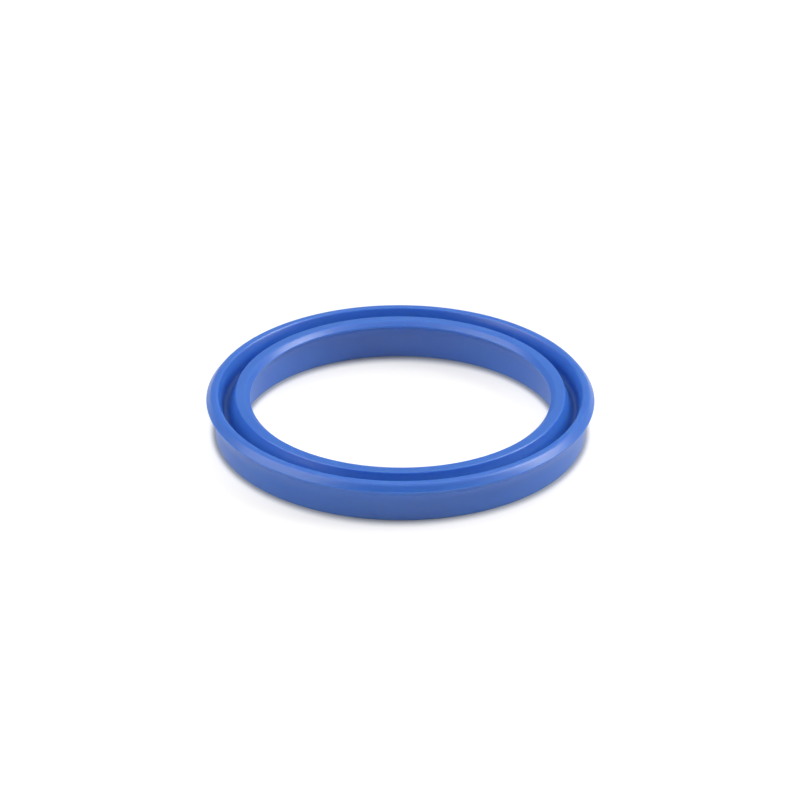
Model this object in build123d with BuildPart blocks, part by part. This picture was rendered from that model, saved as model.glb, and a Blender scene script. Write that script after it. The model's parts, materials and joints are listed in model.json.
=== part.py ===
from build123d import *
import os

# U cup rod seal: one moulded ring with a heel, two flaring lips and a groove between them.
# Millimetres. +Z is the ring's axis, with the lips up, and the origin is the centre of the heel face.

# Gland that the seal fills
rod_diameter = 50.0
gland_depth = 5.0  # from the rod's surface to the housing bore

# Heel, with a straight wall below each lip
heel_clearance = 0.45  # from the rod, and from the housing bore
heel_chamfer = 0.15
inner_heel_height = 3.5
outer_heel_height = 2.5

# Lips, which end level with each other, each with a land on top and a bevel down to its sealing edge
seal_height = 7.0
lip_reach = 1.1  # how far each free lip reaches past the rod's surface or the housing bore
inner_bevel_width = 0.65
inner_bevel_height = 0.8
outer_bevel_width = 0.95
outer_bevel_height = 1.2
inner_land_width = 1.75
outer_land_width = 0.85

# Groove: a vee between the lips, broken at its two crests and rounded out at its floor
groove_offset = 0.4  # of the vee from the middle of the heel, towards the thinner outer lip
groove_vee_depth = 4.3  # to the point where the groove's two walls would meet
groove_floor_radius = 0.65
crest_chamfer = 0.3

# Radii of the heel
rod_radius = rod_diameter / 2
housing_radius = rod_radius + gland_depth
inner_heel_radius = rod_radius + heel_clearance
outer_heel_radius = housing_radius - heel_clearance

# Corners of the section, as radius and height: each lip from its sealing edge over to the groove
inner_sealing_edge = (rod_radius - lip_reach, seal_height - inner_bevel_height)
inner_land_start = (inner_sealing_edge[0] + inner_bevel_width, seal_height)
inner_land_end = (inner_land_start[0] + inner_land_width, seal_height)
outer_sealing_edge = (housing_radius + lip_reach, seal_height - outer_bevel_height)
outer_land_start = (outer_sealing_edge[0] - outer_bevel_width, seal_height)
outer_land_end = (outer_land_start[0] - outer_land_width, seal_height)
groove_vee = (rod_radius + gland_depth / 2 + groove_offset, seal_height - groove_vee_depth)

with BuildPart() as u_cup_seal:
    with BuildSketch(Plane.XZ) as section:
        with BuildLine():
            # Heel face and straight walls, which curve smoothly into the flares under the lips
            Line((inner_heel_radius, 0), (outer_heel_radius, 0))
            inner_wall = Line((inner_heel_radius, 0), (inner_heel_radius, inner_heel_height))
            outer_wall = Line((outer_heel_radius, 0), (outer_heel_radius, outer_heel_height))
            TangentArc(inner_wall @ 1, inner_sealing_edge, tangent=inner_wall % 1)
            TangentArc(outer_wall @ 1, outer_sealing_edge, tangent=outer_wall % 1)

            # Bevels, lands and groove
            Polyline(
                inner_sealing_edge,
                inner_land_start,
                inner_land_end,
                groove_vee,
                outer_land_end,
                outer_land_start,
                outer_sealing_edge,
            )
        make_face()
        chamfer(section.vertices().group_by(Axis.Y)[0], length=heel_chamfer)
        fillet(section.vertices().sort_by_distance(groove_vee)[0], radius=groove_floor_radius)
        for crest in (inner_land_end, outer_land_end):
            chamfer(section.vertices().sort_by_distance(crest)[0], length=crest_chamfer)
    revolve(axis=Axis.Z)
u_cup_seal.part.label = "u_cup_seal"

os.makedirs("parts", exist_ok=True)
export_step(u_cup_seal.part, "parts/u_cup_seal.step")
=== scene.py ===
import json
import math

import bpy
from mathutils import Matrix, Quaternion, Vector


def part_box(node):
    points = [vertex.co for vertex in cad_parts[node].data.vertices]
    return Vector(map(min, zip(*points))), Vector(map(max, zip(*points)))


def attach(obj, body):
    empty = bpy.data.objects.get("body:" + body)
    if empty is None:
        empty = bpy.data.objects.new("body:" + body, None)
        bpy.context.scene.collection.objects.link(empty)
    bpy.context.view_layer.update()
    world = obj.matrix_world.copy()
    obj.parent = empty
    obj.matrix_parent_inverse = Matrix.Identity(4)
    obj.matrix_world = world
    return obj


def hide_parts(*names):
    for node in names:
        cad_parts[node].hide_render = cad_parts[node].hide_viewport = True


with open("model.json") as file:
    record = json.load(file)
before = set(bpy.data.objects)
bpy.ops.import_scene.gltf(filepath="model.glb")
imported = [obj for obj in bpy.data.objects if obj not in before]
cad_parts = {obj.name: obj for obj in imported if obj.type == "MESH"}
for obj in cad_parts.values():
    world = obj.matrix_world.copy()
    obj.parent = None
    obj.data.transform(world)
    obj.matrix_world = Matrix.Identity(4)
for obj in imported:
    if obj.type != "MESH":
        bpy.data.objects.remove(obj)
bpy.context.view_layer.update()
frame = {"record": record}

NODE = "u_cup_seal"
lowest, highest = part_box(NODE)
mounts = {mount["name"]: mount for mount in frame["record"]["mounts"]}

# ---- Sizes, in metres ----
# Section of the ring: its height, heel and widest circle come from the frame
SEAL_HEIGHT = highest.z - lowest.z
INNER_HEEL_RADIUS = mounts["rod_bore"]["dims"]["r_mm"] / 1000
OUTER_HEEL_RADIUS = mounts["housing_seat"]["dims"]["r_mm"] / 1000
INNER_HEEL_HEIGHT = 0.0035
OUTER_HEEL_HEIGHT = 0.0025
INNER_EDGE_RADIUS = 0.0239  # of the inner lip's sealing edge, the narrowest circle
OUTER_EDGE_RADIUS = highest.x
INNER_EDGE_HEIGHT = 0.0062
OUTER_EDGE_HEIGHT = 0.0058
INNER_LAND = (0.02635, 0.0248)  # radii, from the groove to the bevel
OUTER_LAND = (0.0292, 0.0302)
INNER_LAND_FALL = 0.00008  # of the inner land toward the groove
GROOVE_MIDDLE = 0.0279
GROOVE_FLOOR_HEIGHT = 0.004

# Radii of the section's roundings
HEEL_ROUND = 0.00015
INNER_CREST_ROUND = 0.0003
OUTER_CREST_ROUND = 0.0004
INNER_LAND_ROUND = 0.0005
OUTER_LAND_ROUND = 0.0008
EDGE_ROUND = 0.0002
FLOOR_ROUND = 0.0006

# Fineness of the mesh
SEGMENTS = 720  # round the ring
FLARE_STEPS = 14
GROOVE_WALL_STEPS = 6
ARC_STEP = math.radians(9)  # between points of a rounding
LEAST_ARC_STEPS = 3

# Polyurethane: the blue of its faint clouds, its gloss and its grain
DEEP_BLUE = (0.039, 0.160, 0.555, 1)
PALE_BLUE = (0.047, 0.178, 0.595, 1)
REFRACTION = 1.6
SUBSURFACE_WEIGHT = 0.9
SUBSURFACE_TINT = (0.4, 0.7, 1.0)
SUBSURFACE_REACH = 0.0022
ROUGHNESS = (0.29, 0.35)  # from rubbed patches to the dullest
CLOUD_SCALE, CLOUD_DETAIL = 220, 4
PATCH_SCALE, PATCH_DETAIL = 90, 3
GRAIN_SCALE, GRAIN_DETAIL = 6000, 2
GRAIN_STRENGTH = 0.12
GRAIN_HEIGHT = 0.00002

# Floor
FLOOR_SIZE = 20
FLOOR_COLOUR = 0.9  # as the ring's light sees it
SEEN_FLOOR_COLOUR = 0.5  # to the camera and in reflections, where the glow makes up the rest
# Painted light: the floor glows more at the ring's sides than in front and behind, standing in for the side
# lamps, so the painted contact shadow is lighter there
SIDE_GLOW, FRONT_GLOW = 0.71, 0.48
REFLECTED_GLOW = 0.4
GLOW_COLOUR = (1, 0.98, 0.95, 1)  # offsets the blue light that the ring throws on the floor
SIDE_SHADE, FRONT_SHADE = 0.0012, 0.0025  # reach of the painted contact shadow
DARK_CONTACT = 0.6  # share of open sky below which no glow is left: the painted contact shadow at the ring's foot

# Surroundings, from dark before the ring to bright behind it
FRONT_LIGHT = 0.03
BACK_LIGHT = 0.36

# Camera
CAMERA_ELEVATION = math.radians(28.33)
CAMERA_ROLL = math.radians(0.25)
CAMERA_DISTANCE = 2.0
NEAREST_SEEN = 0.01
SENSOR = 0.036
IMAGE = 800
PIXELS_PER_METRE = 6256
AIM = Vector((-0.00006, 0, 0.00571))


# ---- Ring ----
def rounded(before, corner, after, radius):
    """Points of the arc that rounds a corner between two straight stretches."""
    to_before = (Vector(before) - Vector(corner)).normalized()
    to_after = (Vector(after) - Vector(corner)).normalized()
    half = to_before.angle(to_after) / 2
    centre = Vector(corner) + (to_before + to_after).normalized() * radius / math.sin(half)
    start = Vector(corner) + to_before * radius / math.tan(half) - centre
    end = Vector(corner) + to_after * radius / math.tan(half) - centre
    turn = start.angle_signed(end)
    steps = max(LEAST_ARC_STEPS, math.ceil(abs(turn) / ARC_STEP))
    points = []
    for i in range(steps + 1):
        a = -turn * i / steps
        x = start.x * math.cos(a) - start.y * math.sin(a)
        y = start.x * math.sin(a) + start.y * math.cos(a)
        points.append((centre.x + x, centre.y + y))
    return points


def flare(wall_top, edge, steps=FLARE_STEPS):
    """Points of the arc that leaves an upright wall and ends at an edge further in or out."""
    lean = 2 * math.atan2(abs(edge[0] - wall_top[0]), edge[1] - wall_top[1])
    radius = (edge[1] - wall_top[1]) / math.sin(lean)
    side = math.copysign(1, edge[0] - wall_top[0])
    points = []
    for i in range(steps + 1):
        a = lean * i / steps
        across = side * radius * (1 - math.cos(a))
        points.append((wall_top[0] + across, wall_top[1] + radius * math.sin(a)))
    return points


def groove_floor(middle, height, radius, inner_crest):
    """Points of the groove's round floor, from its upright outer end to where it meets the inner wall."""
    centre = Vector((middle, height + radius))
    to_crest = Vector(inner_crest) - centre
    tangent = math.acos(radius / to_crest.length)  # between the crest's direction and the touching point's
    last = 2 * math.pi - (math.atan2(to_crest.y, to_crest.x) + tangent)
    steps = math.ceil(last / ARC_STEP)
    angles = [last * i / steps for i in range(steps + 1)]
    return [(centre.x + radius * math.cos(a), centre.y - radius * math.sin(a)) for a in angles]


def section():
    """The ring's outline as (radius, height), from the heel's inner corner outward and round."""
    inner_foot = (INNER_HEEL_RADIUS, 0.0)
    outer_foot = (OUTER_HEEL_RADIUS, 0.0)
    inner_top = (INNER_HEEL_RADIUS, INNER_HEEL_HEIGHT)
    outer_top = (OUTER_HEEL_RADIUS, OUTER_HEEL_HEIGHT)
    inner_edge = (INNER_EDGE_RADIUS, INNER_EDGE_HEIGHT)
    outer_edge = (OUTER_EDGE_RADIUS, OUTER_EDGE_HEIGHT)
    inner_bevel = (INNER_LAND[1], SEAL_HEIGHT)
    outer_bevel = (OUTER_LAND[1], SEAL_HEIGHT)
    inner_crest = (INNER_LAND[0], SEAL_HEIGHT - INNER_LAND_FALL)
    outer_crest = (OUTER_LAND[0], SEAL_HEIGHT)
    inner_flare = flare(inner_top, inner_edge)
    outer_flare = flare(outer_top, outer_edge)
    groove = groove_floor(GROOVE_MIDDLE, GROOVE_FLOOR_HEIGHT, FLOOR_ROUND, inner_crest)
    outer_wall = flare(groove[0], outer_crest, GROOVE_WALL_STEPS)

    # Each flare gives up its last two points to the rounding at its edge
    points = rounded(inner_top, inner_foot, outer_foot, HEEL_ROUND)
    points += rounded(inner_foot, outer_foot, outer_top, HEEL_ROUND)
    points += outer_flare[:-2]
    points += rounded(outer_flare[-3], outer_edge, outer_bevel, EDGE_ROUND)
    points += rounded(outer_edge, outer_bevel, outer_crest, OUTER_LAND_ROUND)
    points += rounded(outer_bevel, outer_crest, outer_wall[-3], OUTER_CREST_ROUND)
    points += reversed(outer_wall[1:-2])
    points += groove
    points += rounded(groove[-1], inner_crest, inner_bevel, INNER_CREST_ROUND)
    points += rounded(inner_crest, inner_bevel, inner_edge, INNER_LAND_ROUND)
    points += rounded(inner_bevel, inner_edge, inner_flare[-3], EDGE_ROUND)
    points += reversed(inner_flare[:-2])

    # Errors of the last digit stay within the frame's box
    return [(radius, min(max(height, lowest.z), highest.z)) for radius, height in points]


def lathe(name, outline, segments):
    """A closed smooth ring made by turning an outline of (radius, height) about Z."""
    count = len(outline)
    vertices = []
    for i in range(segments):
        angle = 2 * math.pi * i / segments
        for radius, height in outline:
            vertices.append((radius * math.cos(angle), radius * math.sin(angle), height))
    faces = []
    for i in range(segments):
        here, there = i * count, (i + 1) % segments * count
        for j in range(count):
            k = (j + 1) % count
            faces.append((here + j, there + j, there + k, here + k))
    mesh = bpy.data.meshes.new(name)
    mesh.from_pydata(vertices, [], faces)
    mesh.update()
    for polygon in mesh.polygons:
        polygon.use_smooth = True
    piece = bpy.data.objects.new(name, mesh)
    bpy.context.scene.collection.objects.link(piece)
    return piece


# ---- Shader nodes ----
def noise(tree, place, scale, detail):
    """Noise over the object's own coordinates, with its scale in waves a metre."""
    texture = tree.nodes.new("ShaderNodeTexNoise")
    texture.inputs["Scale"].default_value = scale
    texture.inputs["Detail"].default_value = detail
    tree.links.new(place.outputs["Object"], texture.inputs["Vector"])
    return texture.outputs["Fac"]


def ramp(tree, factor, low, high, start=0.0):
    """A straight ramp, from low where the factor is at its start to high where it is 1."""
    stops = tree.nodes.new("ShaderNodeMapRange")
    stops.inputs["From Min"].default_value = start
    stops.inputs["To Min"].default_value = low
    stops.inputs["To Max"].default_value = high
    tree.links.new(factor, stops.inputs["Value"])
    return stops.outputs["Result"]


def combine(tree, operation, first, second):
    """The result of a sum on two values, each a socket or a plain number."""
    node = tree.nodes.new("ShaderNodeMath")
    node.operation = operation
    for socket, value in zip(node.inputs, (first, second)):
        if isinstance(value, float):
            socket.default_value = value
        else:
            tree.links.new(value, socket)
    return node.outputs["Value"]


def polyurethane():
    """Semi-gloss moulded polyurethane: faint clouds in the blue, a fine grain and rubbed patches."""
    material = bpy.data.materials.new("polyurethane")
    material.use_nodes = True
    tree = material.node_tree
    shader = tree.nodes["Principled BSDF"]
    shader.inputs["IOR"].default_value = REFRACTION
    shader.inputs["Subsurface Weight"].default_value = SUBSURFACE_WEIGHT
    shader.inputs["Subsurface Radius"].default_value = SUBSURFACE_TINT
    shader.inputs["Subsurface Scale"].default_value = SUBSURFACE_REACH
    place = tree.nodes.new("ShaderNodeTexCoord")

    clouds = tree.nodes.new("ShaderNodeMix")
    clouds.data_type = "RGBA"
    clouds.inputs["A"].default_value = DEEP_BLUE
    clouds.inputs["B"].default_value = PALE_BLUE
    tree.links.new(noise(tree, place, CLOUD_SCALE, CLOUD_DETAIL), clouds.inputs["Factor"])
    tree.links.new(clouds.outputs["Result"], shader.inputs["Base Color"])

    patches = noise(tree, place, PATCH_SCALE, PATCH_DETAIL)
    tree.links.new(ramp(tree, patches, *ROUGHNESS), shader.inputs["Roughness"])

    grain = tree.nodes.new("ShaderNodeBump")
    grain.inputs["Strength"].default_value = GRAIN_STRENGTH
    grain.inputs["Distance"].default_value = GRAIN_HEIGHT
    tree.links.new(noise(tree, place, GRAIN_SCALE, GRAIN_DETAIL), grain.inputs["Height"])
    tree.links.new(grain.outputs["Normal"], shader.inputs["Normal"])
    return material


def floor_glow_and_painted_shadow(tree, path, mirrored):
    """How strongly the floor glows, which paints the ring's contact shadow: fully in the open, less in
    front and behind, not at the ring's foot.
    """
    place = tree.nodes.new("ShaderNodeTexCoord")
    heading = tree.nodes.new("ShaderNodeVectorMath")
    heading.operation = "NORMALIZE"
    tree.links.new(place.outputs["Object"], heading.inputs[0])
    parts = tree.nodes.new("ShaderNodeSeparateXYZ")
    tree.links.new(heading.outputs["Vector"], parts.inputs["Vector"])
    frontal = combine(tree, "POWER", parts.outputs["Y"], 2.0)

    # Painted contact shadow: the glow fades where the ambient occlusion finds the ring close by
    near = tree.nodes.new("ShaderNodeAmbientOcclusion")
    tree.links.new(ramp(tree, frontal, SIDE_SHADE, FRONT_SHADE), near.inputs["Distance"])
    outside_painted_shadow = ramp(tree, near.outputs["AO"], 0.0, 1.0, start=DARK_CONTACT)
    # Painted light: a stronger glow to the ring's sides than in front and behind
    full_glow = ramp(tree, frontal, SIDE_GLOW, FRONT_GLOW)
    in_sight = combine(tree, "MULTIPLY", path.outputs["Is Camera Ray"], outside_painted_shadow)
    looked_at = combine(tree, "MULTIPLY", in_sight, full_glow)
    return combine(tree, "ADD", looked_at, combine(tree, "MULTIPLY", mirrored, REFLECTED_GLOW))


def floor_material():
    """White paper that glows up to white, less so close to the ring's front and back, where the fading glow
    paints the ring's contact shadow.
    """
    material = bpy.data.materials.new("floor")
    material.use_nodes = True
    tree = material.node_tree
    tree.nodes.remove(tree.nodes["Principled BSDF"])
    path = tree.nodes.new("ShaderNodeLightPath")
    mirrored = combine(tree, "MAXIMUM", path.outputs["Is Glossy Ray"], path.outputs["Is Transmission Ray"])
    seen = combine(tree, "MAXIMUM", path.outputs["Is Camera Ray"], mirrored)

    matt = tree.nodes.new("ShaderNodeBsdfDiffuse")
    tree.links.new(ramp(tree, seen, FLOOR_COLOUR, SEEN_FLOOR_COLOUR), matt.inputs["Color"])
    glow = tree.nodes.new("ShaderNodeEmission")
    glow.inputs["Color"].default_value = GLOW_COLOUR
    tree.links.new(floor_glow_and_painted_shadow(tree, path, mirrored), glow.inputs["Strength"])
    both = tree.nodes.new("ShaderNodeAddShader")
    tree.links.new(matt.outputs["BSDF"], both.inputs[0])
    tree.links.new(glow.outputs["Emission"], both.inputs[1])
    tree.links.new(both.outputs["Shader"], tree.nodes["Material Output"].inputs["Surface"])
    return material


def studio_world():
    """White to the camera, and to the ring a soft light that rises from the front to the back."""
    world = bpy.data.worlds.new("studio")
    world.use_nodes = True
    tree = world.node_tree
    background = tree.nodes["Background"]
    background.inputs["Color"].default_value = (1, 1, 1, 1)
    outlook = tree.nodes.new("ShaderNodeTexCoord")
    parts = tree.nodes.new("ShaderNodeSeparateXYZ")
    tree.links.new(outlook.outputs["Generated"], parts.inputs["Vector"])
    backward = ramp(tree, parts.outputs["Y"], 0.0, 1.0, start=-1.0)
    light = ramp(tree, combine(tree, "POWER", backward, 2.0), FRONT_LIGHT, BACK_LIGHT)

    path = tree.nodes.new("ShaderNodeLightPath")
    level = tree.nodes.new("ShaderNodeMix")
    level.inputs["B"].default_value = 1.0
    tree.links.new(path.outputs["Is Camera Ray"], level.inputs["Factor"])
    tree.links.new(light, level.inputs["A"])
    tree.links.new(level.outputs["Result"], background.inputs["Strength"])
    return world


# ---- Lights and camera ----
def softbox(name, azimuth, elevation, width, height, radiance):
    """An area lamp 1 m away that faces the ring, placed in degrees, with a radiance of 1 for white."""
    azimuth, elevation = math.radians(azimuth), math.radians(elevation)
    direction = Vector(
        (
            math.cos(elevation) * math.cos(azimuth),
            math.cos(elevation) * math.sin(azimuth),
            math.sin(elevation),
        )
    )
    lamp = bpy.data.lights.new(name, "AREA")
    lamp.shape = "RECTANGLE"
    lamp.size, lamp.size_y = width, height
    lamp.energy = radiance * math.pi * width * height
    box = bpy.data.objects.new(name, lamp)
    box.location = direction
    box.rotation_mode = "QUATERNION"
    box.rotation_quaternion = direction.to_track_quat("Z", "Y")
    bpy.context.scene.collection.objects.link(box)


def studio_camera():
    """A long lens in front of the ring, which looks down on it with a slight roll."""
    data = bpy.data.cameras.new("camera")
    data.sensor_width = SENSOR * 1000
    data.lens = PIXELS_PER_METRE * CAMERA_DISTANCE * SENSOR * 1000 / IMAGE
    data.clip_start = NEAREST_SEEN
    toward = Vector((0, -math.cos(CAMERA_ELEVATION), math.sin(CAMERA_ELEVATION)))
    camera = bpy.data.objects.new("camera", data)
    camera.location = AIM + toward * CAMERA_DISTANCE
    camera.rotation_mode = "QUATERNION"
    camera.rotation_quaternion = toward.to_track_quat("Z", "Y") @ Quaternion((0, 0, 1), CAMERA_ROLL)
    bpy.context.scene.collection.objects.link(camera)
    return camera


# ---- Scene ----
seal = lathe("seal_ring", section(), SEGMENTS)
seal.data.materials.append(polyurethane())
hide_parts(NODE)
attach(seal, "root")

bpy.ops.mesh.primitive_plane_add(size=FLOOR_SIZE, location=(0, 0, lowest.z))
floor = bpy.context.object
floor.name = "floor"
floor.data.materials.append(floor_material())

softbox("softbox_left", 190, 40, 1.0, 0.9, 2.5)
softbox("softbox_right", 6, 37, 0.46, 0.7, 6.4)
softbox("softbox_top", 10, 72, 1.7, 1.7, 0.75)
bpy.context.scene.world = studio_world()
bpy.context.scene.camera = studio_camera()
bpy.context.scene.view_settings.view_transform = "Standard"
